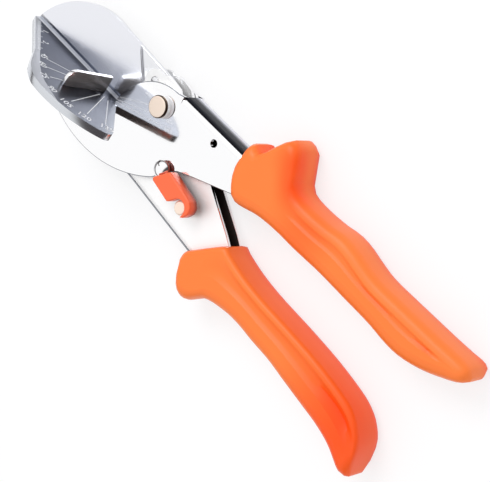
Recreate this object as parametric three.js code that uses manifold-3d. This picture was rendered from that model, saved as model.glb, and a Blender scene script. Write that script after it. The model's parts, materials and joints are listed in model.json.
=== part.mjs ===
// Mitre shears: a thin blade on one hand lever closes on an anvil strip in a fan shaped mitre table on the other.
// Working frame while building: origin on the pivot axis, +X towards the grips, +Y out of the table's top face,
// +Z along the pivot towards the side that carries the latch. Lengths in millimetres, angles in degrees.

import * as THREE from "three";
import * as BufferGeometryUtils from "three/addons/utils/BufferGeometryUtils.js";
import Module from "manifold-3d";

const wasm = await Module();
wasm.setup();

// Sheet metal and clearances
const sheet = 1.5;
const runningGap = 0.3;
const fitGap = 0.15;
const overrun = 1;
const straight = Math.PI / 180;

// Table arm: pressed channel, web on +Y, two round cheeks
const tableArmWidth = 11.8;
const tableArmBend = 3;
const webHeight = 9.1;
const webRise = 0.0105;
const webStart = 6;
const bellyRadius = 54.7;
const bellyCentreX = -22.1;
const bellyCentreY = 19.9;
const bellyEndAngle = 309;
const browRadius = 21.6;
const browCentreX = 2.9;
const browCentreY = -13.3;
const browEndAngle = 90;
const tangDepth = 9.1;
const handleHoleRadius = 1.55;
const handleHoleX = 26.4;
const handleHoleY = 4.4;

// Blade arm: narrower channel inside the table arm, web on -Y
const bladeArmBend = 3.4;
const neckReach = 32;
const earRadius = 4.6;

// Jaw plate and blade
const jawThickness = 2;
const jawThroat = 1;
const bladeThickness = 0.9;
const bladeRadius = 34.5;
const bladeCentreX = -39.8;
const bladeCentreY = -24.3;
const bladeTopAngle = 80;
const edgeClearance = 0.2;
const bladeOverhang = 3;
const bevelHeight = 2.2;
const bladeHeelX = -12;
const bladeHeelY = -4.5;
const heelSlope = -1.0465;
const bladeScrewRadius = 1;
const bladeScrewHeadRadius = 2.3;
const bladeScrewHeadHeight = 1.5;
const bladeScrewOneX = -50;
const bladeScrewTwoX = -30;
const bladeScrewY = -1;
const bladeSkin = 0.3;

// Mitre table
const tableTop = -13;
const tableThickness = 2.8;
const apexX = -25.7;
const apexZ = 2.3;
const fanRadius = 35.3;
const tipReach = 47.6;
const tipHeight = 0.3;
const rulerEndReach = 25;
const rulerEndHeight = 19;
const fanStartAngle = 84;
const fanEndAngle = 134;
const rightEdgeReach = 4.9;
const cheekNotchX = -19;
const landEndX = -62;
const anvilWidth = 3.4;
const anvilBack = -1.3;
const anvilDepth = 1;
const flangeStart = -54;
const flangeEnd = -28;
const tableScrewOneX = -48;
const tableScrewTwoX = -34;
const tableScrewRadius = 1.5;
const tableScrewHeadRadius = 2.8;
const tableScrewHeadHeight = 1.6;
const tableScrewSkin = 1.3;

// Fence
const fenceThickness = 1.5;
const fenceTurn = 7;
const fenceBack = -0.8;
const fenceHeight = 6.7;
const fenceStart = 2.6;
const fenceLength = 21.3;
const fenceSlant = 0.4;
const fenceCorner = 3.6;
const tenonLength = 4;
const tenonOne = 3;
const tenonTwo = 14;

// Pivot
const pivotRadius = 2.5;
const bushRadius = 3.7;
const pivotHeadRadius = 4.2;
const pivotHeadHeight = 3;
const pivotHeadChamfer = 0.5;
const washerThickness = 0.8;
const washerRadius = 4.6;
const nutRadius = 4.3;
const rivetRadius = 1.6;
const spacerRadius = 3.2;

// Latch and catch
const latchPivotX = 15;
const latchPivotY = -16.8;
const latchPinRadius = 1.6;
const latchPinHeadRadius = 3.5;
const latchPinHeadHeight = 1.7;
const latchEyeThickness = 1.2;
const latchThickness = 5;
const latchEyeRadius = 3.4;
const latchLength = 21.4;
const catchX = 31.2;
const catchY = -21.1;
const catchRadius = 2.8;
const catchChamfer = 0.6;
const catchCollarRadius = 3.4;
const catchCollarHeight = 1.9;
const catchHeight = 5.5;
const slotClearance = 0.4;
const armPathAngle = 16;
const latchPathAngle = 34;

// Grips
const gripThickness = 17;
const gripSoftCorner = 5;
const upperTopCorner = 3.8;
const lowerTopCorner = 2;
const gripDepth = 16;
const gripEndRound = 4;
const upperGrooveDepth = 0.8;
const lowerGrooveDepth = 1.3;
const lowerHollowDepth = 1.3;
const grooveLeast = 0.02;
const upperTangShare = 0.774;
const lowerTangShare = 0.78;
const upperGripStart = 38.1;
const upperGripLength = 113.6;
const upperGripAxis = 6;
const lowerGripStart = 40.5;
const lowerGripLength = 99.4;
const lowerGripAxis = -32;
const gripStations = 46;

// Outlines as shares: along the grip, and across it as shares of its depth
const upperGripTopShares = [
  [0, 0.269], [0.014, 0.594], [0.056, 0.545], [0.088, 0.95], [0.119, 1.275], [0.145, 1.281], [0.169, 1.181],
  [0.194, 0.83], [0.219, 0.56], [0.266, 0.461], [0.372, 0.486], [0.437, 0.561], [0.491, 0.541], [0.544, 0.465],
  [0.605, 0.4], [0.715, 0.412], [0.857, 0.44], [0.963, 0.465], [0.991, 0.4], [1, 0.285]];
const upperGripFootShares = [
  [0, -0.062], [0.007, -0.25], [0.039, -0.61], [0.059, -0.74], [0.09, -0.734], [0.161, -0.595], [0.24, -0.535],
  [0.33, -0.525], [0.439, -0.487], [0.55, -0.49], [0.659, -0.492], [0.736, -0.533], [0.791, -0.516],
  [0.861, -0.39], [0.926, -0.19], [0.982, 0.056], [1, 0.188]];
const lowerGripTopShares = [
  [0, -0.1], [0.027, 0.075], [0.075, 0.4], [0.121, 0.7], [0.138, 0.794], [0.161, 0.744], [0.253, 0.625],
  [0.364, 0.562], [0.528, 0.544], [0.672, 0.506], [0.8, 0.419], [0.876, 0.312], [0.931, 0.113], [0.975, -0.225],
  [0.995, -0.688], [1, -0.85]];
const lowerGripFootShares = [
  [0, -0.225], [0.021, -0.519], [0.046, -0.825], [0.081, -0.975], [0.122, -0.9], [0.168, -0.587], [0.26, -0.419],
  [0.337, -0.381], [0.419, -0.413], [0.516, -0.431], [0.598, -0.494], [0.719, -0.581], [0.801, -0.644],
  [0.88, -0.769], [0.94, -0.944], [0.961, -1], [0.991, -0.975], [1, -0.925]];

// Long groove in the flat sides of a grip: its steps across, its middle and half width as shares of the flat,
// and its start, end and ramp along the grip, with those of the deeper hollow near the lower grip's end
const grooveStepShares = [-1, -0.5, 0, 0.5, 1];
const upperGrooveShares = [0.72, 0.24];
const upperGrooveRunShares = [0.22, 0.93, 0.08];
const lowerGrooveShares = [0.66, 0.3];
const lowerGrooveRunShares = [0.1, 0.97, 0.1];
const lowerHollowRunShares = [0.68, 0.985, 0.14];

// Lower edge of the table arm behind the belly: along the arm, and as shares of its inner depth in the grip
const tangFootShares = [[0.135, -1.78], [0.16, -1.5], [0.207, -1.22], [0.28, -0.835], [0.344, -0.495],
  [0.413, -0.176], [0.492, 0.132], [1, 0.132]];

// Blade arm outline round the pivot, as shares of the neck's reach
const neckLeftShares = [[-0.425, 0.047], [-0.469, -0.156], [-0.438, -0.469], [-0.25, -0.781], [-0.031, -0.944]];
const neckRightShares = [[1.056, -0.275], [0.125, 0.216], [0.038, 0.278], [-0.178, 0.306]];

// Blade arm's web line and open edge: along the arm, and as shares of the neck's reach
const bladeWebShares = [[-0.2, -0.95], [0.028, -0.984], [0.337, -1.088], [0.508, -1.113], [1, -1.194]];
const bladeOpenShares = [[1, -0.922], [0.636, -0.844], [0.559, -0.806], [0.475, -0.688], [0.424, -0.563],
  [0.37, -0.45]];

// Rear outline of the jaw plate, and the two rivets that hold it in the blade arm
const jawTailShares = [[-0.281, -0.594], [0, -0.578], [0.25, -0.125], [0.25, 0.125], [-0.056, 0.219],
  [-0.316, 0.2625]];
const earShares = [-0.306, 0.131];
const lowerRivetShares = [-0.1375, -0.444];

// Shoulder of the fan where its round starts, and its outer corner, from the apex in shares of its radius
const fanShoulderShares = [[0.622, 0.632], [0.497, 0.767], [0.434, 0.833], [0.364, 0.885], [0.252, 0.953],
  [0.178, 0.984]];
const fanCornerShares = [[-0.729, 0.679], [-0.739, 0.645], [-0.732, 0.61], [-0.706, 0.572]];

// Latch outline from its pivot, as shares of its length
const latchOutlineShares = [[0.033, -0.131], [0.066, -0.178], [0.645, -0.287], [0.822, -0.332], [0.935, -0.271],
  [1, -0.145], [0.977, -0.038], [0.897, 0.042], [0.785, 0.07], [0.318, 0.159], [0.262, 0.164]];

const tableArmHalf = tableArmWidth / 2;
const tableArmInner = tableArmHalf - sheet;
const bladeArmHalf = tableArmInner - runningGap;
const bladeArmInner = bladeArmHalf - sheet;
const jawHalf = jawThickness / 2;
const bladeFront = jawHalf + bladeThickness;
const edgeY = tableTop + edgeClearance;
const tableFoot = tableTop - tableThickness;
const gripHalf = gripThickness / 2;
const [earX, earY] = earShares.map((share) => share * neckReach);
const [lowerRivetX, lowerRivetY] = lowerRivetShares.map((share) => share * neckReach);
const tableArmLength = upperGripStart + upperTangShare * upperGripLength;
const bladeArmLength = lowerGripStart + lowerTangShare * lowerGripLength;

function solid(geometry) {
  const bare = geometry.clone();
  bare.deleteAttribute("normal");
  bare.deleteAttribute("uv");
  const merged = BufferGeometryUtils.mergeVertices(bare, 1e-5);
  const vertProperties = new Float32Array(merged.attributes.position.array);
  const triVerts = new Uint32Array(merged.index.array);
  return new wasm.Manifold(new wasm.Mesh({ numProp: 3, vertProperties, triVerts }));
}

function mesh(name, body, colour, roughness, metalness) {
  const data = body.getMesh();
  const geometry = new THREE.BufferGeometry();
  geometry.setAttribute("position", new THREE.BufferAttribute(new Float32Array(data.vertProperties), 3));
  geometry.setIndex(new THREE.BufferAttribute(new Uint32Array(data.triVerts), 1));
  geometry.computeVertexNormals();
  const piece = new THREE.Mesh(geometry, new THREE.MeshStandardMaterial({ color: colour, roughness, metalness }));
  piece.name = name;
  return piece;
}

// A flat plate: points in X and Y, between two heights
function plate(points, low, high) {
  const shape = new THREE.Shape(points.map(([x, y]) => new THREE.Vector2(x, y)));
  const geometry = new THREE.ExtrudeGeometry(shape, { depth: high - low, bevelEnabled: false });
  geometry.translate(0, 0, low);
  return solid(geometry);
}

// A plate lying along the table: points in X and Z, between two levels of Y
function deck(points, low, high) {
  const shape = new THREE.Shape(points.map(([x, z]) => new THREE.Vector2(x, z)));
  const geometry = new THREE.ExtrudeGeometry(shape, { depth: high - low, bevelEnabled: false });
  geometry.translate(0, 0, -high);
  geometry.rotateX(90 * straight);
  return solid(geometry);
}

function rectangle(left, right, low, high) {
  return [[left, low], [right, low], [right, high], [left, high]];
}

function arc(x, y, radius, from, to, steps) {
  const points = [];
  for (let i = 0; i <= steps; i += 1) {
    const angle = (from + (to - from) * i / steps) * straight;
    points.push([x + radius * Math.cos(angle), y + radius * Math.sin(angle)]);
  }
  return points;
}

function rod(x, y, radius, low, high, sides = 32) {
  return plate(arc(x, y, radius, 0, 360 - 360 / sides, sides - 1), low, high);
}

// A rod standing across the table
function peg(x, z, radius, low, high, sides = 24) {
  return deck(arc(x, z, radius, 0, 360 - 360 / sides, sides - 1), low, high);
}

// A turned piece on an axis along Z: profile in radius and height
function turned(x, y, profile, sides = 32) {
  const geometry = new THREE.LatheGeometry(profile.map(([r, z]) => new THREE.Vector2(r, z)), sides);
  geometry.rotateX(90 * straight);
  geometry.translate(x, y, 0);
  return solid(geometry);
}

// A solid through rings that all have the same number of points, each ring in a plane across X
function loft(given) {
  const capPoints = given[0].map(([, y, z]) => new THREE.Vector2(y, z));
  const turnedRight = THREE.ShapeUtils.area(capPoints) > 0;
  const rings = turnedRight ? given : given.map((ring) => ring.slice().reverse());
  const count = rings[0].length;
  const indices = [];
  for (let i = 0; i + 1 < rings.length; i += 1) {
    for (let j = 0; j < count; j += 1) {
      const a = i * count + j;
      const b = i * count + (j + 1) % count;
      indices.push(a, b, a + count, b, b + count, a + count);
    }
  }
  const cap = rings[0].map(([, y, z]) => new THREE.Vector2(y, z));
  const last = (rings.length - 1) * count;
  THREE.ShapeUtils.triangulateShape(cap, []).forEach(([a, b, c]) => {
    indices.push(a, c, b);
    indices.push(last + a, last + b, last + c);
  });
  const vertProperties = new Float32Array(rings.flat(2));
  return new wasm.Manifold(new wasm.Mesh({ numProp: 3, vertProperties, triVerts: new Uint32Array(indices) }));
}

// Height of an outline at one place, with a smooth slope through the table's points
function follow(table, at) {
  let i = 0;
  while (i + 2 < table.length && at > table[i + 1][0]) {
    i += 1;
  }
  const [x0, y0] = table[i];
  const [x1, y1] = table[i + 1];
  const slope = (k) => {
    const before = table[Math.max(k - 1, 0)];
    const after = table[Math.min(k + 1, table.length - 1)];
    return (after[1] - before[1]) / (after[0] - before[0]);
  };
  const span = x1 - x0;
  const t = (at - x0) / span;
  const rise = slope(i) * span * t * (1 - t) * (1 - t) - slope(i + 1) * span * t * t * (1 - t);
  return y0 + (y1 - y0) * t * t * (3 - 2 * t) + rise;
}

// Channel of folded sheet along X: side is 1 where the web is on +Y
function channel(places, webAt, side, half, bend, depth) {
  const corner = (y, z, radius, from, to) => arc(y, z, radius, from, to, 4);
  const rings = places.map((x) => {
    const outer = [
      [-depth, half],
      ...corner(-bend, half - bend, bend, 90, 0),
      ...corner(-bend, bend - half, bend, 0, -90),
      [-depth, -half],
    ];
    const inner = [
      [-depth, sheet - half],
      ...corner(-bend, bend - half, bend - sheet, -90, 0),
      ...corner(-bend, half - bend, bend - sheet, 0, 90),
      [-depth, half - sheet],
    ];
    const ring = [...outer, ...inner].map(([y, z]) => [x, webAt(x) + side * y, z]);
    return ring;
  });
  return loft(rings);
}

function tableWeb(x) {
  return webHeight + webRise * x;
}

// Table arm in outline, grown by a clearance for the grip's pocket
function tangOutline(gap) {
  const foot = tangFootShares.map(([along, across]) => [along * tableArmLength, across * tangDepth - gap]);
  const end = tableArmLength + gap;
  foot[foot.length - 1][0] = end;
  return [...foot, [end, tableWeb(end) + gap]];
}

function tableArm() {
  const bellyStart = Math.asin((tableFoot - bellyCentreY) / bellyRadius) / straight;
  const browStart = Math.asin((tableFoot - browCentreY) / browRadius) / straight;
  const outline = [
    ...arc(bellyCentreX, bellyCentreY, bellyRadius, 180 - bellyStart, bellyEndAngle, 30),
    ...tangOutline(0),
    [webStart, tableWeb(webStart)],
    ...arc(browCentreX, browCentreY, browRadius, browEndAngle, 180 - browStart, 16),
  ];
  const places = [webStart, bellyRadius, tableArmLength + overrun];
  const folded = channel(places, tableWeb, 1, tableArmHalf, tableArmBend, bellyRadius + bladeRadius);
  const front = rectangle(landEndX - tableArmWidth, webStart, -bellyRadius, webHeight + overrun);
  const cheeks = plate(front, -tableArmHalf, tableArmHalf).subtract(plate(front, -tableArmInner, tableArmInner));
  const flange = deck(
    rectangle(flangeStart, flangeEnd, -tableArmInner - fitGap, tableArmInner + fitGap), tableFoot - sheet, tableFoot);
  let body = folded.add(cheeks).intersect(plate(outline, -tableArmHalf, tableArmHalf)).add(flange);
  const through = tableArmHalf + overrun;
  body = body.subtract(rod(0, 0, pivotRadius + fitGap, -through, through));
  body = body.subtract(rod(handleHoleX, handleHoleY, handleHoleRadius, -through, through, 24));
  body = body.subtract(rod(latchPivotX, latchPivotY, latchPinRadius + fitGap, tableArmInner - overrun, through, 24));
  for (const x of [tableScrewOneX, tableScrewTwoX]) {
    body = body.subtract(peg(x, 0, tableScrewRadius + fitGap, tableFoot - sheet - overrun, tableFoot + overrun));
  }
  return mesh("table_arm", body, "#c9ccd4", 0.12, 1);
}

function bladeWeb(x) {
  const at = x / bladeArmLength;
  let i = 0;
  while (i + 2 < bladeWebShares.length && at > bladeWebShares[i + 1][0]) {
    i += 1;
  }
  const [a, low] = bladeWebShares[i];
  const [b, high] = bladeWebShares[i + 1];
  return neckReach * (low + (high - low) * (at - a) / (b - a));
}

function bladeTangOutline(gap) {
  const end = bladeArmLength + gap;
  const web = bladeWebShares.slice(1, -1).map(([along, across]) => [along * bladeArmLength, across * neckReach - gap]);
  const open = bladeOpenShares.map(([along, across]) => [along * bladeArmLength, across * neckReach + gap]);
  open[0][0] = end;
  return [...web, [end, bladeWeb(end) - gap], ...open];
}

function bladeArm() {
  const outline = [
    ...bladeTangOutline(0),
    ...neckRightShares.map(([x, y]) => [x * neckReach, y * neckReach]),
    ...arc(earX, earY, earRadius, 70, 200, 10),
    ...neckLeftShares.map(([x, y]) => [x * neckReach, y * neckReach]),
  ];
  const places = [-neckReach, ...bladeWebShares.slice(1, -1).map(([along]) => along * bladeArmLength),
    bladeArmLength + overrun];
  const folded = channel(places, bladeWeb, -1, bladeArmHalf, bladeArmBend, neckReach + bellyRadius);
  let body = folded.intersect(plate(outline, -bladeArmHalf, bladeArmHalf));
  const through = bladeArmHalf + overrun;
  body = body.subtract(rod(0, 0, bushRadius + fitGap, -through, through));
  body = body.subtract(rod(earX, earY, rivetRadius + fitGap, -through, through, 24));
  body = body.subtract(rod(lowerRivetX, lowerRivetY, rivetRadius + fitGap, -through, through, 24));
  body = body.subtract(rod(catchX, catchY, latchPinRadius + fitGap, 0, through, 24));
  return mesh("blade_arm", body, "#c9ccd4", 0.12, 1);
}

function jawArc(inset) {
  const start = Math.asin((edgeY + bladeOverhang - bladeCentreY) / bladeRadius) / straight;
  return arc(bladeCentreX, bladeCentreY, bladeRadius - inset, 180 - start, bladeTopAngle, 24);
}

function jawPlate() {
  const tail = jawTailShares.map(([x, y]) => [x * neckReach, y * neckReach]);
  const throat = [cheekNotchX - jawThroat, edgeY + bladeOverhang];
  const outline = [throat, ...tail, ...jawArc(0).reverse()];
  let body = plate(outline, -jawHalf, jawHalf);
  const through = jawHalf + overrun;
  body = body.subtract(rod(0, 0, bushRadius + fitGap, -through, through));
  body = body.subtract(rod(earX, earY, rivetRadius + fitGap, -through, through, 24));
  body = body.subtract(rod(lowerRivetX, lowerRivetY, rivetRadius + fitGap, -through, through, 24));
  for (const x of [bladeScrewOneX, bladeScrewTwoX]) {
    body = body.subtract(rod(x, bladeScrewY, bladeScrewRadius + fitGap, -through, through, 20));
  }
  return mesh("jaw_plate", body, "#b4b6bd", 0.3, 1);
}

function blade() {
  const start = Math.asin((edgeY - bladeCentreY) / bladeRadius) / straight;
  const round = arc(bladeCentreX, bladeCentreY, bladeRadius, 180 - start, bladeTopAngle + 14, 28);
  const heelTop = bladeHeelX + (round[round.length - 1][1] - bladeHeelY) / heelSlope;
  const outline = [
    [bladeHeelX, edgeY],
    [bladeHeelX, bladeHeelY],
    [heelTop, round[round.length - 1][1]],
    ...round.slice().reverse(),
  ];
  const bevel = solid(new THREE.ExtrudeGeometry(
    new THREE.Shape([
      new THREE.Vector2(bladeFront, edgeY + bevelHeight),
      new THREE.Vector2(jawHalf + bladeThickness - bladeThickness * 0.8, edgeY),
      new THREE.Vector2(jawHalf + bladeThickness - bladeThickness * 0.8, edgeY - overrun),
      new THREE.Vector2(bladeFront + overrun, edgeY - overrun),
      new THREE.Vector2(bladeFront + overrun, edgeY + bevelHeight),
    ]), { depth: bladeRadius * 3, bevelEnabled: false })
    .rotateY(-90 * straight).translate(bladeHeelX + overrun, 0, 0));
  let body = plate(outline, jawHalf, bladeFront).subtract(bevel);
  for (const x of [bladeScrewOneX, bladeScrewTwoX]) {
    body = body.subtract(rod(x, bladeScrewY, bladeScrewRadius + fitGap, 0, bladeFront - bladeSkin, 20));
  }
  return mesh("blade", body, "#dfe2e8", 0.06, 1);
}

function bladeScrew(name, x) {
  const top = bladeFront - bladeSkin - fitGap;
  const shank = rod(x, bladeScrewY, bladeScrewRadius, -jawHalf - fitGap, top, 20);
  const head = rod(x, bladeScrewY, bladeScrewHeadRadius, -jawHalf - bladeScrewHeadHeight, -jawHalf, 24);
  return mesh(name, head.add(shank), "#a9abb0", 0.35, 1);
}

function jawRivet(name, x, y) {
  return mesh(name, rod(x, y, rivetRadius, -bladeArmHalf, bladeArmHalf, 24), "#a9abb0", 0.35, 1);
}

function spacer(name, x, y, side) {
  const low = side > 0 ? jawHalf : -bladeArmInner;
  const high = side > 0 ? bladeArmInner : -jawHalf;
  const hole = rod(x, y, rivetRadius + fitGap, low - overrun, high + overrun, 24);
  return mesh(name, rod(x, y, spacerRadius, low, high, 24).subtract(hole), "#a9abb0", 0.35, 1);
}

function fan() {
  return [
    [apexX - tipReach, apexZ],
    [apexX - tipReach, apexZ + tipHeight],
    [apexX - rulerEndReach, apexZ + rulerEndHeight],
    ...fanShoulderShares.map(([a, n]) => [apexX - a * fanRadius, apexZ + n * fanRadius]),
    ...arc(apexX, apexZ, fanRadius, 180 - fanStartAngle, 180 - fanEndAngle, 12),
    ...fanCornerShares.map(([a, n]) => [apexX - a * fanRadius, apexZ + n * fanRadius]),
    [apexX + rightEdgeReach + tableArmHalf + runningGap - apexZ, tableArmHalf + runningGap],
    [cheekNotchX, tableArmHalf + runningGap],
    [cheekNotchX, -tableArmHalf],
    [landEndX, -tableArmHalf],
    [landEndX, anvilBack],
    [apexX - tipReach, anvilBack],
  ];
}

// Foot of one tenon, turned with the fence about the apex, and grown by a gap for its slot
function fenceFoot(at, gap) {
  const low = fenceStart + at - gap;
  const high = fenceStart + at + tenonLength + gap;
  const c = Math.cos(fenceTurn * straight);
  const s = Math.sin(fenceTurn * straight);
  return rectangle(fenceBack - gap, fenceBack + fenceThickness + gap, low, high)
    .map(([across, along]) => [apexX + across * c - along * s, apexZ + across * s + along * c]);
}

function mitreTable() {
  let body = deck(fan(), tableFoot, tableTop);
  const rebate = rectangle(apexX - tipReach - overrun, cheekNotchX + overrun, anvilBack, anvilBack + anvilWidth);
  body = body.subtract(deck(rebate, tableTop - anvilDepth, tableTop + overrun));
  for (const at of [tenonOne, tenonTwo]) {
    body = body.subtract(deck(fenceFoot(at, fitGap), tableFoot - overrun, tableTop + overrun));
  }
  for (const x of [tableScrewOneX, tableScrewTwoX]) {
    const top = tableTop - tableScrewSkin;
    body = body.subtract(peg(x, 0, tableScrewRadius + fitGap, tableFoot - overrun, top));
  }
  return mesh("mitre_table", body, "#55606e", 0.5, 0.3);
}

function anvilStrip() {
  const points = rectangle(apexX - tipReach, cheekNotchX, anvilBack, anvilBack + anvilWidth);
  return mesh("anvil_strip", deck(points, tableTop - anvilDepth, tableTop), "#d9dade", 0.4, 0.2);
}

function tableScrew(name, x) {
  const underside = tableFoot - sheet;
  const shank = peg(x, 0, tableScrewRadius, underside - fitGap, tableTop - tableScrewSkin - fitGap);
  const head = peg(x, 0, tableScrewHeadRadius, underside - tableScrewHeadHeight, underside);
  return mesh(name, head.add(shank), "#a9abb0", 0.35, 1);
}

function fence() {
  const end = fenceStart + fenceLength;
  const top = tableTop + fenceHeight;
  const cornerZ = end - fenceSlant - fenceCorner;
  const round = arc(cornerZ, top - fenceCorner, fenceCorner, 0, 90, 6);
  const side = [[fenceStart, tableTop], [end, tableTop], ...round, [fenceStart, top]];
  const shape = new THREE.Shape(side.map(([along, y]) => new THREE.Vector2(-along, y)));
  const geometry = new THREE.ExtrudeGeometry(shape, { depth: fenceThickness, bevelEnabled: false });
  geometry.rotateY(90 * straight).translate(fenceBack, 0, 0);
  geometry.rotateY(-fenceTurn * straight).translate(apexX, 0, apexZ);
  let body = solid(geometry);
  for (const at of [tenonOne, tenonTwo]) {
    body = body.add(deck(fenceFoot(at, 0), tableFoot, tableTop + fitGap));
  }
  return mesh("fence", body, "#5d6673", 0.45, 0.4);
}

function pivotScrew() {
  const top = tableArmHalf + pivotHeadHeight;
  const profile = [
    [0, -gripHalf],
    [pivotRadius, -gripHalf],
    [pivotRadius, tableArmHalf],
    [pivotHeadRadius, tableArmHalf],
    [pivotHeadRadius, top - pivotHeadChamfer],
    [pivotHeadRadius - pivotHeadChamfer, top],
    [0, top],
  ];
  return mesh("pivot_screw", turned(0, 0, profile), "#e9dfc9", 0.3, 0.6);
}

function pivotWasher() {
  const low = -tableArmHalf - washerThickness;
  const hole = rod(0, 0, pivotRadius + fitGap, low - overrun, overrun);
  return mesh("pivot_washer", rod(0, 0, washerRadius, low, -tableArmHalf).subtract(hole), "#c9ccd4", 0.25, 1);
}

function pivotNut() {
  const high = -tableArmHalf - washerThickness;
  const hole = rod(0, 0, pivotRadius + fitGap, -gripHalf - overrun, overrun);
  return mesh("pivot_nut", rod(0, 0, nutRadius, -gripHalf, high, 6).subtract(hole), "#c9ccd4", 0.25, 1);
}

function pivotBush() {
  const hole = rod(0, 0, pivotRadius + fitGap, -gripHalf, gripHalf);
  const body = rod(0, 0, bushRadius, -tableArmInner, tableArmInner).subtract(hole);
  return mesh("pivot_bush", body, "#a9abb0", 0.35, 1);
}

// The latch turns on a rivet with a domed head
function latchPin() {
  const eyeTop = tableArmHalf + runningGap + latchEyeThickness;
  const underHead = eyeTop + runningGap;
  const domeRadius = (latchPinHeadRadius ** 2 + latchPinHeadHeight ** 2) / (2 * latchPinHeadHeight);
  const rim = Math.asin(latchPinHeadRadius / domeRadius) / straight;
  const domeCentre = underHead + latchPinHeadHeight - domeRadius;
  const profile = [
    [0, tableArmInner],
    [latchPinRadius, tableArmInner],
    [latchPinRadius, underHead],
    ...arc(0, domeCentre, domeRadius, 90 - rim, 90, 7),
  ];
  profile[profile.length - 1][0] = 0;
  return mesh("latch_pin", turned(latchPivotX, latchPivotY, profile, 24), "#c9ccd4", 0.12, 1);
}

// The slot clears the catch pin on its way out by the arm's swing and by the latch's own swing
function latchSlot(low, high) {
  const radius = catchRadius + slotClearance;
  const armReach = Math.hypot(catchX, catchY);
  const armAngle = Math.atan2(catchY, catchX) / straight;
  const reachX = catchX - latchPivotX;
  const reachY = catchY - latchPivotY;
  const latchReach = Math.hypot(reachX, reachY);
  const latchAngle = Math.atan2(reachY, reachX) / straight;
  const points = [
    ...arc(catchX, catchY, radius, latchAngle, armAngle + 180, 10),
    ...arc(0, 0, armReach - radius, armAngle - 1, armAngle - armPathAngle, 8),
    ...arc(latchPivotX, latchPivotY, latchReach + radius, latchAngle - latchPathAngle, latchAngle - 1, 8),
  ];
  return plate(points, low, high);
}

function latchLever() {
  const low = tableArmHalf + runningGap;
  const high = low + latchThickness;
  const outline = latchOutlineShares.map(([x, y]) => [latchPivotX + x * latchLength, latchPivotY + y * latchLength]);
  const arm = plate(outline, low, high);
  const eye = rod(latchPivotX, latchPivotY, latchEyeRadius, low, low + latchEyeThickness);
  const roomFoot = low + latchEyeThickness;
  const roomTop = roomFoot + runningGap + latchPinHeadHeight + runningGap;
  const room = rod(latchPivotX, latchPivotY, latchPinHeadRadius + runningGap, roomFoot, roomTop);
  const hole = rod(latchPivotX, latchPivotY, latchPinRadius + fitGap, low - overrun, high + overrun, 24);
  const slot = latchSlot(low - overrun, high + overrun);
  return mesh("latch_lever", arm.add(eye).subtract(room).subtract(hole).subtract(slot), "#ff7346", 0.45, 0);
}

function catchPin() {
  const collarTop = bladeArmHalf + catchCollarHeight;
  const top = bladeArmHalf + catchHeight;
  const profile = [
    [0, bladeArmInner],
    [latchPinRadius, bladeArmInner],
    [latchPinRadius, bladeArmHalf],
    [catchCollarRadius, bladeArmHalf],
    [catchCollarRadius, collarTop],
    [catchRadius, collarTop],
    [catchRadius, top - catchChamfer],
    [catchRadius - catchChamfer, top],
    [0, top],
  ];
  return mesh("catch_pin", turned(catchX, catchY, profile, 24), "#efe2cc", 0.35, 0.5);
}

// Section of a grip: soft edges, a tighter one at the front's top, and a groove in each flat side
function gripRing(x, low, high, half, topCorner, grooveShares, depth) {
  const limit = Math.min((high - low) / 2, half) - fitGap;
  const top = Math.min(topCorner, limit);
  const soft = Math.min(gripSoftCorner, limit);
  const corner = (y, z, radius, from) => arc(y, z, radius, from, from + 90, 4);
  const [middle, reach] = grooveShares;
  const side = (upper) => grooveStepShares.map((step) => {
    const across = middle + step * reach;
    return [low + soft + across * (high - upper - low - soft), half - depth * (1 - step * step) ** 2];
  });
  return [
    ...corner(high - top, half - top, top, 0),
    ...side(top).reverse(),
    ...corner(low + soft, half - soft, soft, 90),
    ...corner(low + soft, soft - half, soft, 180),
    ...side(soft).map(([y, z]) => [y, -z]),
    ...corner(high - soft, soft - half, soft, 270),
  ].map(([y, z]) => [x, y, z]);
}

// How far a feature is in at one place of its run: 0 outside, 1 inside, with soft ends
function run([start, end, ramp], at) {
  const inside = Math.min(at - start, end - at) / ramp;
  const t = Math.min(Math.max(inside, 0), 1);
  return t * t * (3 - 2 * t);
}

function gripBody(start, length, axis, topShares, footShares, topCorner, grooveShares, grooveDepth) {
  const rings = [];
  for (let i = 0; i <= gripStations; i += 1) {
    const share = (1 - Math.cos(Math.PI * i / gripStations)) / 4 + i / gripStations / 2;
    const fromEnd = Math.min(share, 1 - share) * length;
    const t = Math.max(0, 1 - fromEnd / gripEndRound);
    const half = gripHalf - gripEndRound * (1 - Math.sqrt(1 - t * t));
    const high = axis + follow(topShares, share) * gripDepth;
    const low = axis + follow(footShares, share) * gripDepth;
    const depth = Math.max(grooveDepth(share), grooveLeast);
    rings.push(gripRing(start + share * length, low, high, half, topCorner, grooveShares, depth));
  }
  return loft(rings);
}

function upperGrip() {
  const groove = (share) => upperGrooveDepth * run(upperGrooveRunShares, share);
  const body = gripBody(upperGripStart, upperGripLength, upperGripAxis, upperGripTopShares, upperGripFootShares,
    upperTopCorner, upperGrooveShares, groove);
  const outline = [...tangOutline(runningGap), [0, tableWeb(0) + runningGap]];
  const half = tableArmHalf + runningGap;
  return mesh("upper_grip", body.subtract(plate(outline, -half, half)), "#ff8030", 0.5, 0);
}

function lowerGrip() {
  const groove = (share) => lowerGrooveDepth * run(lowerGrooveRunShares, share)
    + lowerHollowDepth * run(lowerHollowRunShares, share);
  const body = gripBody(lowerGripStart, lowerGripLength, lowerGripAxis, lowerGripTopShares, lowerGripFootShares,
    lowerTopCorner, lowerGrooveShares, groove);
  const half = bladeArmHalf + runningGap;
  const outline = bladeTangOutline(runningGap);
  return mesh("lower_grip", body.subtract(plate(outline, -half, half)), "#ff8030", 0.5, 0);
}

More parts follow.
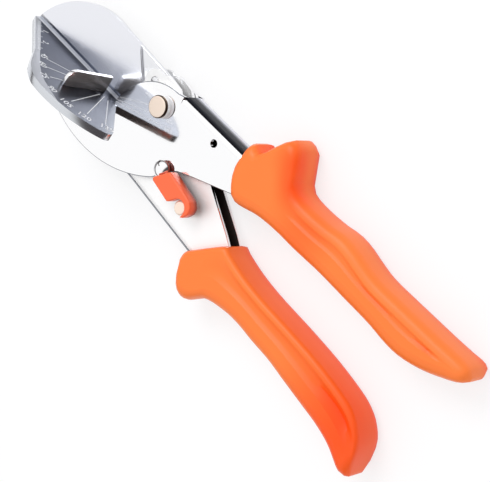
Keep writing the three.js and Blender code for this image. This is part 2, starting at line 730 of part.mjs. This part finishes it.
const shears = new THREE.Group();
shears.add(
  tableArm(),
  upperGrip(),
  mitreTable(),
  anvilStrip(),
  tableScrew("table_screw_1", tableScrewOneX),
  tableScrew("table_screw_2", tableScrewTwoX),
  fence(),
  pivotScrew(),
  pivotWasher(),
  pivotNut(),
  pivotBush(),
  latchPin(),
  bladeArm(),
  lowerGrip(),
  jawPlate(),
  blade(),
  bladeScrew("blade_screw_1", bladeScrewOneX),
  bladeScrew("blade_screw_2", bladeScrewTwoX),
  jawRivet("jaw_rivet_1", earX, earY),
  jawRivet("jaw_rivet_2", lowerRivetX, lowerRivetY),
  spacer("spacer_front_1", earX, earY, 1),
  spacer("spacer_front_2", lowerRivetX, lowerRivetY, 1),
  spacer("spacer_back_1", earX, earY, -1),
  spacer("spacer_back_2", lowerRivetX, lowerRivetY, -1),
  catchPin(),
  latchLever(),
);

// Finished part: origin under the middle of the whole tool, which lies on its back
const bounds = new THREE.Box3().setFromObject(shears);
const middle = bounds.getCenter(new THREE.Vector3());
shears.position.set(-middle.x, -middle.y, -bounds.min.z);
shears.updateMatrixWorld(true);

export default shears;
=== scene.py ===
import json
import math

import bmesh
import bpy
from mathutils import Matrix, Vector


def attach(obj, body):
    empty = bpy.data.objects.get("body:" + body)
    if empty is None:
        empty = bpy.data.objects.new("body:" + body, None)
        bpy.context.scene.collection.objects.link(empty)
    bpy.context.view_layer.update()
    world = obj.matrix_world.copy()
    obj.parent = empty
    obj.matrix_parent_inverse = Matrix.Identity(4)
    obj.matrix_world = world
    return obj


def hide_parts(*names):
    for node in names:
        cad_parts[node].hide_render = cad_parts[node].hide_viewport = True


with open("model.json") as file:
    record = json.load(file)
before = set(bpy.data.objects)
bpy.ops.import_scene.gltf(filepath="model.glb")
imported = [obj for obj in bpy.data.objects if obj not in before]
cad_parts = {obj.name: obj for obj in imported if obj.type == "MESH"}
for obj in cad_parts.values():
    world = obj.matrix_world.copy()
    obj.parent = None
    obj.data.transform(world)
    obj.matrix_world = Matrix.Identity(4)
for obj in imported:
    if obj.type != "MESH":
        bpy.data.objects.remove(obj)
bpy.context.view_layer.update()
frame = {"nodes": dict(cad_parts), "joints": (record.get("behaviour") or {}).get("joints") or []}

# The object's own place: sizes are in millimetres from the pivot axis, as the tool is drawn,
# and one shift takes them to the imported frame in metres.
MM = 0.001
pivot_place = Vector(frame["joints"][0]["pos_m"])
back_of_tool = -8.5


def place(x, y, z):
    return Vector((pivot_place.x + x * MM, pivot_place.y + y * MM, (z - back_of_tool) * MM))


# Camera: a long lens that looks down on the tool from the grips' side, as the photograph does.
eye = place(274.834, 198.147, 430.0)
across = Vector((0.6281, 0.51952, -0.5793)).normalized()
forward = Vector((-0.41557, -0.40559, -0.8142)).normalized()
upward = across.cross(forward).normalized()
across = forward.cross(upward).normalized()
camera_data = bpy.data.cameras.new("camera")
camera_data.sensor_width = 36
camera_data.sensor_fit = "HORIZONTAL"
camera_data.lens = 110.2
camera_data.clip_start = 0.01
camera_data.clip_end = 10
camera = bpy.data.objects.new("camera", camera_data)
camera.matrix_world = Matrix((
    (across.x, upward.x, -forward.x, eye.x),
    (across.y, upward.y, -forward.y, eye.y),
    (across.z, upward.z, -forward.z, eye.z),
    (0, 0, 0, 1)))
bpy.context.scene.collection.objects.link(camera)
bpy.context.scene.camera = camera
bpy.context.scene.view_settings.view_transform = "Standard"


# Room: a matt white floor and a white tent of light round it, with one large soft lamp.
# The tent is a shade greyer low down. Steel mirrors it as white only high up and on the
# side away from the grips, and as dark elsewhere, which draws the steel's forms.
def linear(code):
    channels = [int(code[i:i + 2], 16) / 255 for i in (1, 3, 5)]
    straight = [c / 12.92 if c <= 0.04045 else ((c + 0.055) / 1.055) ** 2.4 for c in channels]
    return tuple(straight) + (1,)


def add(tree, kind, links=None, **settings):
    node = tree.nodes.new(kind)
    for name, value in settings.items():
        if name in node.inputs.keys():
            node.inputs[name].default_value = value
        else:
            setattr(node, name, value)
    for socket, source in (links or {}).items():
        tree.links.new(source, node.inputs[socket])
    return node


world = bpy.data.worlds.new("white_tent")
bpy.context.scene.world = world
world.use_nodes = True
tree = world.node_tree
tree.nodes.clear()
around = add(tree, "ShaderNodeTexCoord")
split = add(tree, "ShaderNodeSeparateXYZ", {0: around.outputs["Generated"]})
height = add(tree, "ShaderNodeMapRange", {0: split.outputs["Z"]},
             **{"From Min": -0.1, "From Max": 0.8})
sky = add(tree, "ShaderNodeMix", {0: height.outputs[0]}, data_type="RGBA",
          A=linear("#9c9da6"), B=linear("#ffffff"))
light = add(tree, "ShaderNodeBackground", {"Color": sky.outputs["Result"]}, Strength=0.95)
band = add(tree, "ShaderNodeMapRange", {0: split.outputs["Z"]}, interpolation_type="SMOOTHSTEP",
           **{"From Min": 0.12, "From Max": 0.42})
open_side = add(tree, "ShaderNodeMapRange", {0: split.outputs["X"]},
                interpolation_type="SMOOTHSTEP", **{"From Min": 0.42, "From Max": 0.16})
tent = add(tree, "ShaderNodeMath", {0: band.outputs[0], 1: open_side.outputs[0]},
           operation="MULTIPLY")
shine = add(tree, "ShaderNodeMix", {0: tent.outputs[0]}, data_type="RGBA",
            A=linear("#4f4a4b"), B=linear("#ffffff"))
mirrored = add(tree, "ShaderNodeBackground", {"Color": shine.outputs["Result"]}, Strength=1.0)
ray = add(tree, "ShaderNodeLightPath")
glossy = add(tree, "ShaderNodeMixShader",
             {0: ray.outputs["Is Glossy Ray"], 1: light.outputs[0], 2: mirrored.outputs[0]})
white = add(tree, "ShaderNodeBackground", Color=linear("#ffffff"), Strength=1.0)
choice = add(tree, "ShaderNodeMixShader",
             {0: ray.outputs["Is Camera Ray"], 1: glossy.outputs[0], 2: white.outputs[0]})
add(tree, "ShaderNodeOutputWorld", {"Surface": choice.outputs[0]})


def material(name):
    made = bpy.data.materials.new(name)
    made.use_nodes = True
    made.node_tree.nodes.clear()
    return made, made.node_tree


mirrored_floor = 0.55
floor_glow = 0.7
floor_size = 3
floor_material, tree = material("white_floor")
ray = add(tree, "ShaderNodeLightPath")
gloss_share = add(tree, "ShaderNodeMath", {0: ray.outputs["Is Glossy Ray"]}, operation="MULTIPLY")
gloss_share.inputs[1].default_value = mirrored_floor
seen = add(tree, "ShaderNodeMath",
           {0: ray.outputs["Is Camera Ray"], 1: gloss_share.outputs[0]}, operation="MAXIMUM")
clear = add(tree, "ShaderNodeMath",
            {0: seen.outputs[0], 1: ray.outputs["Is Transmission Ray"]}, operation="MAXIMUM")
share = add(tree, "ShaderNodeMath", {0: clear.outputs[0]}, operation="MULTIPLY")
share.inputs[1].default_value = floor_glow
matt = add(tree, "ShaderNodeBsdfDiffuse", Color=linear("#f7f7f9"))
glow = add(tree, "ShaderNodeEmission", Color=linear("#ffffff"), Strength=1.03)
mixed = add(tree, "ShaderNodeMixShader",
            {0: share.outputs[0], 1: matt.outputs[0], 2: glow.outputs[0]})
add(tree, "ShaderNodeOutputMaterial", {"Surface": mixed.outputs[0]})
shape = bmesh.new()
bmesh.ops.create_grid(shape, x_segments=1, y_segments=1, size=floor_size)
floor_mesh = bpy.data.meshes.new("floor")
shape.to_mesh(floor_mesh)
shape.free()
floor = bpy.data.objects.new("floor", floor_mesh)
floor_mesh.materials.append(floor_material)
bpy.context.scene.collection.objects.link(floor)

lamp_place = Vector((-0.35, 0.45, 0.75))
lamp_data = bpy.data.lights.new("soft_lamp", "AREA")
lamp_data.shape = "DISK"
lamp_data.size = 0.5
lamp_data.energy = 3.0
lamp = bpy.data.objects.new("soft_lamp", lamp_data)
lamp.matrix_world = (Matrix.Translation(lamp_place)
                     @ lamp_place.to_track_quat("Z", "Y").to_matrix().to_4x4())
bpy.context.scene.collection.objects.link(lamp)


# Table arm: pressed steel, folded to a channel and polished like a mirror, with two round cheeks.
# The fold's outer side is a painted dark reflection, black at the front and light at the back,
# and shows the grain along it that the polishing left.
grain_stretch = (60, 900, 900)


def polished(name, colour, roughness, scratch=0.02, metal=1.0):
    made, tree = material(name)
    where = add(tree, "ShaderNodeTexCoord")
    spread = add(tree, "ShaderNodeMapping", {0: where.outputs["Object"]}, Scale=grain_stretch)
    grain = add(tree, "ShaderNodeTexNoise", {"Vector": spread.outputs[0]}, Scale=1.0, Detail=3.0)
    cloud = add(tree, "ShaderNodeTexNoise", {"Vector": where.outputs["Object"]},
                Scale=55.0, Detail=2.0)
    rough = add(tree, "ShaderNodeMapRange", {0: cloud.outputs[0]},
                **{"To Min": roughness * 0.7, "To Max": roughness * 1.4})
    bump = add(tree, "ShaderNodeBump", {"Height": grain.outputs[0]},
               Strength=scratch, Distance=0.0002)
    steel = add(tree, "ShaderNodeBsdfPrincipled",
                {"Roughness": rough.outputs[0], "Normal": bump.outputs[0]},
                **{"Base Color": linear(colour), "Metallic": metal})
    add(tree, "ShaderNodeOutputMaterial", {"Surface": steel.outputs[0]})
    return made


# No edge is rounded where the web starts, because its faces are short there. On sheet metal only
# the long edges beside a broad face are rounded. Small faces are shaded smooth, level ones flat.
web_start_low, web_start_high = place(1, 6, -6.5), place(14, 14, 3.5)
broad_face = 250 * MM * MM
small_face = 8 * MM * MM


def in_web_start(point):
    return all(web_start_low[axis] < point[axis] < web_start_high[axis] for axis in range(3))


def copy_of(node, name, body, finish, round_edge=0.0, segments=2, angle=32, sheet=False):
    shape = bmesh.new()
    shape.from_mesh(frame["nodes"][node].data)
    bmesh.ops.remove_doubles(shape, verts=shape.verts, dist=1e-6)
    bmesh.ops.dissolve_limit(shape, angle_limit=math.radians(0.4),
                             verts=shape.verts, edges=shape.edges)
    if round_edge:
        sharp = [e for e in shape.edges if len(e.link_faces) == 2
                 and e.calc_face_angle(0) > math.radians(angle)
                 and not any(in_web_start(v.co) for v in e.verts)]
        if sheet:
            sharp = [e for e in sharp if e.calc_length() > 3 * round_edge * MM
                     and max(f.calc_area() for f in e.link_faces) > broad_face]
        bmesh.ops.bevel(shape, geom=sharp, offset=round_edge * MM, offset_type="OFFSET",
                        segments=segments, profile=0.5, affect="EDGES", material=-1,
                        clamp_overlap=not sheet)
    made = bpy.data.meshes.new(name)
    shape.to_mesh(made)
    shape.free()
    if "custom_normal" in made.attributes:
        made.attributes.remove(made.attributes["custom_normal"])
    made.materials.append(finish)
    made.set_sharp_from_angle(angle=math.radians(angle))
    for face in made.polygons:
        level = max(abs(face.normal.x), abs(face.normal.y), abs(face.normal.z))
        face.use_smooth = level < 0.99999 or face.area < small_face
    piece = bpy.data.objects.new(name, made)
    bpy.context.scene.collection.objects.link(piece)
    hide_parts(node)
    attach(piece, body)
    return piece


def refinish(piece, finish, chosen):
    if finish.name not in [used.name for used in piece.data.materials]:
        piece.data.materials.append(finish)
    number = [used.name for used in piece.data.materials].index(finish.name)
    for face in piece.data.polygons:
        if chosen(face):
            face.material_index = number


mirror_steel = polished("mirror_polished_steel", "#fcfcfd", 0.08)
# Painted dark reflection: the rounded edges of the sheet are a darker grey, which draws them as
# grey lines.
rim_painted_reflection = polished("rounded_edge_painted_dark_reflection", "#8f9299", 0.25)
# Painted shade: the insides of the channels are near black, standing in for the shade inside them.
inside_painted_shade, tree = material("inner_steel_painted_shade")
where = add(tree, "ShaderNodeTexCoord")
cloud = add(tree, "ShaderNodeTexNoise", {"Vector": where.outputs["Object"]},
            Scale=150.0, Detail=3.0)
tone = add(tree, "ShaderNodeMix", {0: cloud.outputs[0]}, data_type="RGBA",
           A=linear("#241b19"), B=linear("#3a302d"))
steel = add(tree, "ShaderNodeBsdfPrincipled", {"Base Color": tone.outputs["Result"]},
            Roughness=0.45, Metallic=0.3)
add(tree, "ShaderNodeOutputMaterial", {"Surface": steel.outputs[0]})

# Painted dark reflection: the fold's colour runs from light at the back to near black at the
# front.
fold_painted_reflection, tree = material("fold_painted_dark_reflection")
where = add(tree, "ShaderNodeTexCoord")
level = add(tree, "ShaderNodeSeparateXYZ", {0: where.outputs["Object"]})
over = add(tree, "ShaderNodeMapRange", {0: level.outputs["Z"]},
           **{"From Min": place(0, 0, -5.9).z, "From Max": place(0, 0, 5.9).z})
tone = add(tree, "ShaderNodeValToRGB", {0: over.outputs[0]})
tone.color_ramp.elements[0].color = linear("#e9e9f2")
tone.color_ramp.elements[1].color = linear("#1b1c22")
for share, colour in ((0.3, "#e4e5ee"), (0.38, "#9a9da5"), (0.46, "#5a5c64"), (0.52, "#23242b")):
    tone.color_ramp.elements.new(share).color = linear(colour)
spread = add(tree, "ShaderNodeMapping", {0: where.outputs["Object"]}, Scale=grain_stretch)
grain = add(tree, "ShaderNodeTexNoise", {"Vector": spread.outputs[0]}, Scale=1.0, Detail=3.0)
rough = add(tree, "ShaderNodeMapRange", {0: grain.outputs[0]}, **{"To Min": 0.2, "To Max": 0.36})
steel = add(tree, "ShaderNodeBsdfPrincipled",
            {"Base Color": tone.outputs[0], "Roughness": rough.outputs[0]}, Metallic=1.0)
add(tree, "ShaderNodeOutputMaterial", {"Surface": steel.outputs[0]})

# A face stands when its normal's z is under the first share, and lies flat over the second.
# Between the two it belongs to a rounded or bevelled edge.
standing, lying = 0.2, 0.98


# Paints shade on the faces inside a channel beyond from_x, and on its web too when web_too is set.
def darken_inside(piece, inner, from_x, web_too):
    start = place(from_x, 0, 0).x
    middle = place(0, 0, 0).z

    def inside(face):
        off = face.center.z - middle
        faces_in = off * face.normal.z < 0 or (web_too and abs(face.normal.z) < 0.5)
        return face.center.x > start and abs(off) < (inner + 0.1) * MM and faces_in

    refinish(piece, inside_painted_shade, inside)


arm = copy_of("table_arm", "table_arm_steel", "table_side", mirror_steel, 0.3, 3, sheet=True)
darken_inside(arm, 4.4, 22, False)
# The outer face of the fold gets the painted dark reflection.
web_from = place(9, 4, 0)
refinish(arm, fold_painted_reflection, lambda face: face.normal.y > 0.8 and face.center.y > web_from.y
         and face.center.x > web_from.x)
# The cheeks' small rounded edges get the darker grey of the painted dark reflection.
edge_face = 12 * MM * MM
refinish(arm, rim_painted_reflection, lambda face: standing < abs(face.normal.z) < lying
         and face.area < edge_face and face.material_index == 0)

# Mitre table: a slate grey plate with bright cut edges, engraved with angle lines, digits and
# a rule. The engraving is cut by machine and filled with white paint.
apex_x, apex_z = -25.7, 2.3
top_y = -13
slate, tree = material("slate_anodised_plate")
where = add(tree, "ShaderNodeTexCoord")
cloud = add(tree, "ShaderNodeTexNoise", {"Vector": where.outputs["Object"]},
            Scale=160.0, Detail=4.0)
level = add(tree, "ShaderNodeSeparateXYZ", {0: where.outputs["Object"]})
side = add(tree, "ShaderNodeMapRange", {0: level.outputs["X"]},
           **{"From Min": place(apex_x - 30, 0, 0).x, "From Max": place(apex_x + 20, 0, 0).x})
tone = add(tree, "ShaderNodeMix", {0: side.outputs[0]}, data_type="RGBA",
           A=linear("#2f3648"), B=linear("#5f636c"))
mottle = add(tree, "ShaderNodeMix", data_type="RGBA", blend_type="MULTIPLY", B=linear("#c9ccd2"))
tree.links.new(cloud.outputs[0], mottle.inputs[0])
tree.links.new(tone.outputs["Result"], mottle.inputs["A"])
plate = add(tree, "ShaderNodeBsdfPrincipled", {"Base Color": mottle.outputs["Result"]},
            Roughness=0.3, Metallic=0.95)
add(tree, "ShaderNodeOutputMaterial", {"Surface": plate.outputs[0]})
bright_edge = polished("bright_cut_edge", "#d5d8dd", 0.22)
rim_grey = polished("ground_rim", "#9d9fa4", 0.3)
# Painted dark reflection: a brownish grey for the table's faces that turn towards +x and the back.
end_faces_painted_reflection = polished("end_faces_painted_dark_reflection", "#78706d", 0.25)
table = copy_of("mitre_table", "mitre_table_plate", "table_side", bright_edge, 0.15)
table.data.materials.append(slate)
table.data.materials.append(rim_grey)
slate_number, rim_number = 1, 2
refinish(table, end_faces_painted_reflection, lambda face: face.normal.x > 0.5 and face.normal.z < 0)

# The rim along the rule and round the top of the fan is left bare, so the top is cut along the
# rim's inner line, given as distances from the fan's apex along and across the table.
rim_line = [(43.68, 1.02), (22.83, 18.27), (15.63, 24.47), (8.74, 29.22), (2.69, 31.89),
            (-2.12, 33.08), (-6.35, 34.3)]
lowest_top = place(0, top_y - 0.3, 0).y
rim_cuts = []
for (a0, n0), (a1, n1) in zip(rim_line, rim_line[1:]):
    first = place(apex_x - a0, top_y, apex_z + n0)
    second = place(apex_x - a1, top_y, apex_z + n1)
    along = (second - first).normalized()
    rim_cuts.append((first, Vector((-along.z, 0, along.x))))


def top_faces(shape):
    return [f for f in shape.faces
            if f.normal.y > 0.9 and f.calc_center_median().y > lowest_top]


shape = bmesh.new()
shape.from_mesh(table.data)
for point, outward in rim_cuts:
    top = top_faces(shape)
    parts = list({v for f in top for v in f.verts}) + list({e for f in top for e in f.edges}) + top
    bmesh.ops.bisect_plane(shape, geom=parts, dist=1e-7, plane_co=point, plane_no=outward)
for face in top_faces(shape):
    middle = face.calc_center_median()
    on_rim = any((middle - point).dot(outward) > 0 for point, outward in rim_cuts)
    face.material_index = rim_number if on_rim else slate_number
shape.to_mesh(table.data)
shape.free()

white_fill, tree = material("white_engraving_paint")
paint = add(tree, "ShaderNodeBsdfPrincipled", Roughness=0.6, **{"Base Color": linear("#eef0f2")})
add(tree, "ShaderNodeOutputMaterial", {"Surface": paint.outputs[0]})
marks = bmesh.new()
fill_depth = 0.04


def stroke(x0, z0, x1, z1, width):
    along = Vector((x1 - x0, 0, z1 - z0))
    middle = Matrix.Translation(place((x0 + x1) / 2, top_y + 0.01, (z0 + z1) / 2))
    turned = Matrix.Rotation(math.atan2(-along.z, along.x), 4, "Y")
    size = Matrix.Diagonal((along.length * MM, fill_depth * MM, width * MM, 1))
    bmesh.ops.create_cube(marks, size=1, matrix=middle @ turned @ size)


# Each angle's line runs from its inner to its outer distance from the apex.
angle_lines = {45: (16.2, 25.4), 60: (18.2, 26.2), 75: (21.9, 27.1),
               105: (6.9, 28.0), 120: (6.2, 28.6), 135: (7.9, 28.6)}
angle_line_width, tick_width = 0.3, 0.28
for angle, (inner, outer) in angle_lines.items():
    turn = math.radians(angle)
    stroke(apex_x - inner * math.cos(turn), apex_z + inner * math.sin(turn),
           apex_x - outer * math.cos(turn), apex_z + outer * math.sin(turn), angle_line_width)
rule_start = Vector((apex_x - 46.3, apex_z + 1.4))
rule_end = Vector((apex_x - 25, apex_z + 19))
rule_along = (rule_end - rule_start).normalized()
rule_inward = Vector((rule_along.y, -rule_along.x))
for tick in range(2, 28):
    length = 2.6 if tick % 10 == 0 else 2.0 if tick % 5 == 0 else 1.3
    foot = rule_start + rule_along * tick + rule_inward * 0.9
    head = foot + rule_inward * length
    stroke(foot.x, foot.y, head.x, head.y, tick_width)
marks_mesh = bpy.data.meshes.new("engraved_lines")
marks.to_mesh(marks_mesh)
marks.free()
marks_mesh.materials.append(white_fill)
engraved_lines = bpy.data.objects.new("engraved_lines", marks_mesh)
bpy.context.scene.collection.objects.link(engraved_lines)
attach(engraved_lines, "table_side")


def digits(name, text, x, z, size, turn):
    curve = bpy.data.curves.new(name, "FONT")
    curve.body = text
    curve.size = size * MM
    curve.align_x = "CENTER"
    curve.align_y = "CENTER"
    curve.extrude = fill_depth / 2 * MM
    curve.resolution_u = 3
    letters = bpy.data.objects.new(name + "_curve", curve)
    made = bpy.data.meshes.new_from_object(letters)
    bpy.data.objects.remove(letters)
    flat = Matrix.Rotation(math.radians(turn), 4, "Y") @ Matrix.Rotation(math.radians(-90), 4, "X")
    made.transform(Matrix.Translation(place(x, top_y + 0.02, z)) @ flat)
    made.materials.clear()
    made.materials.append(white_fill)
    piece = bpy.data.objects.new(name, made)
    bpy.context.scene.collection.objects.link(piece)
    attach(piece, "table_side")


angle_digits = {45: (20.05, 18.38), 60: (14.62, 23.63), 75: (7.72, 28.65), 90: (-0.41, 31.18),
                105: (-8.21, 30.68), 120: (-15.8, 27.69), 135: (-22.23, 21.22)}
angle_digit_size, rule_digit_size, rule_turn = 3.9, 3.4, -41
for angle, (a, n) in angle_digits.items():
    digits("angle_%d" % angle, str(angle), apex_x - a, apex_z + n, angle_digit_size, angle - 90)
for number in (1, 2):
    at = rule_start + rule_along * (number * 10 - 1.6) + rule_inward * 4.2
    digits("rule_%d" % number, str(number), at.x, at.y, rule_digit_size, rule_turn)

# Anvil strip: a hard pale strip let into the table, which the blade closes on.
pale_strip, tree = material("pale_anvil_strip")
strip_shader = add(tree, "ShaderNodeBsdfPrincipled", Roughness=0.35,
                   **{"Base Color": linear("#c9ccd2")})
add(tree, "ShaderNodeOutputMaterial", {"Surface": strip_shader.outputs[0]})
strip = copy_of("anvil_strip", "anvil_strip_bar", "table_side", pale_strip, 0.1)

# Fence: a short steel plate that stands on the 90 degree line, with its outer corner rounded.
# Its edges are bright, and its two broad faces are a browner grey, a painted dark reflection.
fence_steel = polished("polished_fence_edge", "#f4f4f6", 0.15)
# Painted dark reflection on the fence's two broad faces.
fence_face_painted_reflection = polished("fence_face_painted_dark_reflection", "#a8a3a1", 0.22, metal=0.75)
fence = copy_of("fence", "fence_plate", "table_side", fence_steel, 0.15)
refinish(fence, fence_face_painted_reflection, lambda face: abs(face.normal.x) > 0.9)

# Blade arm: the second pressed channel, which turns between the cheeks of the first. Its front
# is satin and its edges are mirror bright. Its outer fold is a greyer steel, painted shade of the
# rounded bend, and its inside is near black, painted shade.
satin_steel = polished("satin_polished_steel", "#ffffff", 0.5, metal=0.8)
# Painted shade: a greyer steel for the outer fold, as the shading of its rounded bend.
outer_fold_painted_shade = polished("outer_fold_steel_painted_shade", "#c4c6cb", 0.3, metal=0.8)
blade_arm = copy_of("blade_arm", "blade_arm_steel", "blade_side", satin_steel, 0.2, sheet=True)
outer_side = -0.25
refinish(blade_arm, mirror_steel, lambda face: abs(face.normal.z) < lying)
refinish(blade_arm, outer_fold_painted_shade, lambda face: face.normal.y < outer_side
         and abs(face.normal.z) <= standing)
# Its outer rounded edges get the darker grey of the painted dark reflection too.
refinish(blade_arm, rim_painted_reflection, lambda face: face.normal.y < outer_side
         and standing < abs(face.normal.z) < lying)
darken_inside(blade_arm, 2.6, 12, True)

# Jaw plate and blade: the plate is ground flat, and the thin blade on its front is polished
# like a mirror.
ground_steel = polished("ground_steel", "#eeeff2", 0.24, 0.05)
jaw = copy_of("jaw_plate", "jaw_plate_steel", "blade_side", ground_steel, 0.12)
blade_steel = polished("polished_blade_steel", "#ecedf3", 0.22)
blade = copy_of("blade", "blade_steel_plate", "blade_side", blade_steel, 0.04)

# Fasteners: zinc plated screws, rings, the pivot's washer, nut and bush, and ground rivets.
zinc = polished("zinc_plated_steel", "#a9adb3", 0.3, 0.05)
for node in ("table_screw_1", "table_screw_2", "pivot_washer", "pivot_nut", "pivot_bush"):
    copy_of(node, node + "_zinc", "table_side", zinc, 0.12)
for node in ("jaw_rivet_1", "jaw_rivet_2"):
    copy_of(node, node + "_polished", "blade_side", ground_steel, 0.12)
for node in ("blade_screw_1", "blade_screw_2", "spacer_front_1", "spacer_front_2",
             "spacer_back_1", "spacer_back_2"):
    copy_of(node, node + "_zinc", "blade_side", zinc, 0.12)

# Pivot screw and the two pins: the screw's wide low head and the catch pin have a pale yellow
# plating that catches the light. The top band of the head's side is a dark brown of painted shade,
# and the side below it is painted white as a bright reflection.
pale_plating = polished("pale_yellow_plating", "#f8e6d6", 0.5, 0.15, 0.35)
side_painted_reflection = polished("screw_side_painted_reflection", "#ffffff", 0.55, 0.02, 0.0)
rim_band_painted_shade = polished("screw_rim_painted_shade", "#5b4a3f", 0.3)
pivot_screw = copy_of("pivot_screw", "pivot_screw_plated", "table_side", side_painted_reflection, 0.18, 3)
head_top = max(v.co.z for v in pivot_screw.data.vertices)
plated_over = head_top - 0.12 * MM
rim_over = head_top - 1.2 * MM
shape = bmesh.new()
shape.from_mesh(pivot_screw.data)
bmesh.ops.bisect_plane(shape, geom=list(shape.verts) + list(shape.edges) + list(shape.faces),
                       dist=1e-7, plane_co=(0, 0, rim_over), plane_no=(0, 0, 1))
shape.to_mesh(pivot_screw.data)
shape.free()
# Painted shade on the band just under the head's top, and a painted white reflection on the side
# below it.
refinish(pivot_screw, pale_plating, lambda face: face.center.z > plated_over)
refinish(pivot_screw, rim_band_painted_shade, lambda face: rim_over < face.center.z <= plated_over)
catch_pin = copy_of("catch_pin", "catch_pin_plated", "blade_side", pale_plating, 0.12)
latch_pin = copy_of("latch_pin", "latch_pin_steel", "table_side", mirror_steel, 0.12)


# Latch: a small hook moulded in orange plastic, with soft edges and painted shade that darkens it
# low down.
# The moulded plastic's colour is painted deeper in hollows, as shade where little light gets in.
def moulded(name, colour, shade_colour, roughness, gloss=0.5):
    made, tree = material(name)
    where = add(tree, "ShaderNodeTexCoord", name="where")
    fine = add(tree, "ShaderNodeTexNoise", {"Vector": where.outputs["Object"]},
               Scale=1800.0, Detail=2.0)
    # Painted shade: the occlusion turns the colour towards the deeper one in hollows.
    hollow = add(tree, "ShaderNodeAmbientOcclusion", Distance=0.009)
    open_share = add(tree, "ShaderNodeMapRange", {0: hollow.outputs["AO"]}, name="open_share",
                     **{"From Min": 0.5, "From Max": 0.95})
    tone = add(tree, "ShaderNodeMix", {0: open_share.outputs[0]}, name="tone",
               data_type="RGBA", A=linear(shade_colour), B=linear(colour))
    bump = add(tree, "ShaderNodeBump", {"Height": fine.outputs[0]}, Strength=0.08, Distance=0.0001)
    plastic = add(tree, "ShaderNodeBsdfPrincipled",
                  {"Base Color": tone.outputs["Result"], "Normal": bump.outputs[0]},
                  name="plastic", Roughness=roughness, IOR=1.49, **{"Specular IOR Level": gloss})
    add(tree, "ShaderNodeOutputMaterial", {"Surface": plastic.outputs[0]})
    return made


latch_plastic = moulded("moulded_red_orange_plastic", "#fb6a3c", "#f15527", 0.35)
tree = latch_plastic.node_tree
# Painted shade: dark brown-red low on the latch, blending to the plastic's colour towards its
# front.
level = add(tree, "ShaderNodeSeparateXYZ", {0: tree.nodes["where"].outputs["Object"]})
depth = add(tree, "ShaderNodeMapRange", {0: level.outputs["Z"]}, interpolation_type="SMOOTHSTEP",
            **{"From Min": place(0, 0, 5.8).z, "From Max": place(0, 0, 9.8).z})
low_painted_shade = add(tree, "ShaderNodeMix", data_type="RGBA", A=linear("#65261c"))
tree.links.new(depth.outputs[0], low_painted_shade.inputs[0])
tree.links.new(tree.nodes["tone"].outputs["Result"], low_painted_shade.inputs["B"])
tree.links.new(low_painted_shade.outputs["Result"], tree.nodes["plastic"].inputs["Base Color"])
latch = copy_of("latch_lever", "latch_hook", "latch", latch_plastic)
even = latch.modifiers.new("even_mesh", "REMESH")
even.mode = "VOXEL"
even.voxel_size = 0.28 * MM
soften = latch.modifiers.new("soft_edges", "SMOOTH")
soften.factor = 0.5
soften.iterations = 24
finished_latch = latch.evaluated_get(bpy.context.evaluated_depsgraph_get())
rounded = bpy.data.meshes.new_from_object(finished_latch)
latch.modifiers.clear()
latch.data = rounded
rounded.shade_smooth()


# Grips: two sleeves moulded in soft orange plastic over the ends of the arms. Round each spot
# the colour is painted deeper as shade: at the guard, on the lower grip's wall and at the
# lower grip's end.
def deepen(plastic, spots):
    tree = plastic.node_tree
    share = tree.nodes["open_share"].outputs[0]
    for x, y, z, reach, most in spots:
        away = add(tree, "ShaderNodeVectorMath", {0: tree.nodes["where"].outputs["Object"]},
                   operation="DISTANCE")
        away.inputs[1].default_value = place(x, y, z)
        pale = add(tree, "ShaderNodeMapRange", {0: away.outputs["Value"]},
                   interpolation_type="SMOOTHSTEP",
                   **{"From Max": reach * MM, "To Min": 1 - most})
        both = add(tree, "ShaderNodeMath", {0: share, 1: pale.outputs[0]}, operation="MULTIPLY")
        share = both.outputs[0]
    tree.links.new(share, tree.nodes["tone"].inputs[0])


# Each spot is x, y, z and reach in millimetres, and the share of the painted shade at its middle.
grip_shade_spots = {"upper_grip": ((59, 22, 6, 12, 0.9), (64, 15, 7, 11, 0.9), (75, 6, 8, 18, 0.4)),
              "lower_grip": ((131, -37, 8, 40, 0.9), (112, -20, 1, 24, 0.25),
                             (93, -14, 1, 22, 0.5), (74, -10, 1, 20, 0.5))}
for node, body in (("upper_grip", "table_side"), ("lower_grip", "blade_side")):
    grip_plastic = moulded(node + "_orange_plastic", "#ff8038", "#ff4c00", 0.36, 0.3)
    # Painted shade round each of the grip's spots.
    deepen(grip_plastic, grip_shade_spots[node])
    grip = copy_of(node, node + "_sleeve", body, grip_plastic, 0, angle=50)
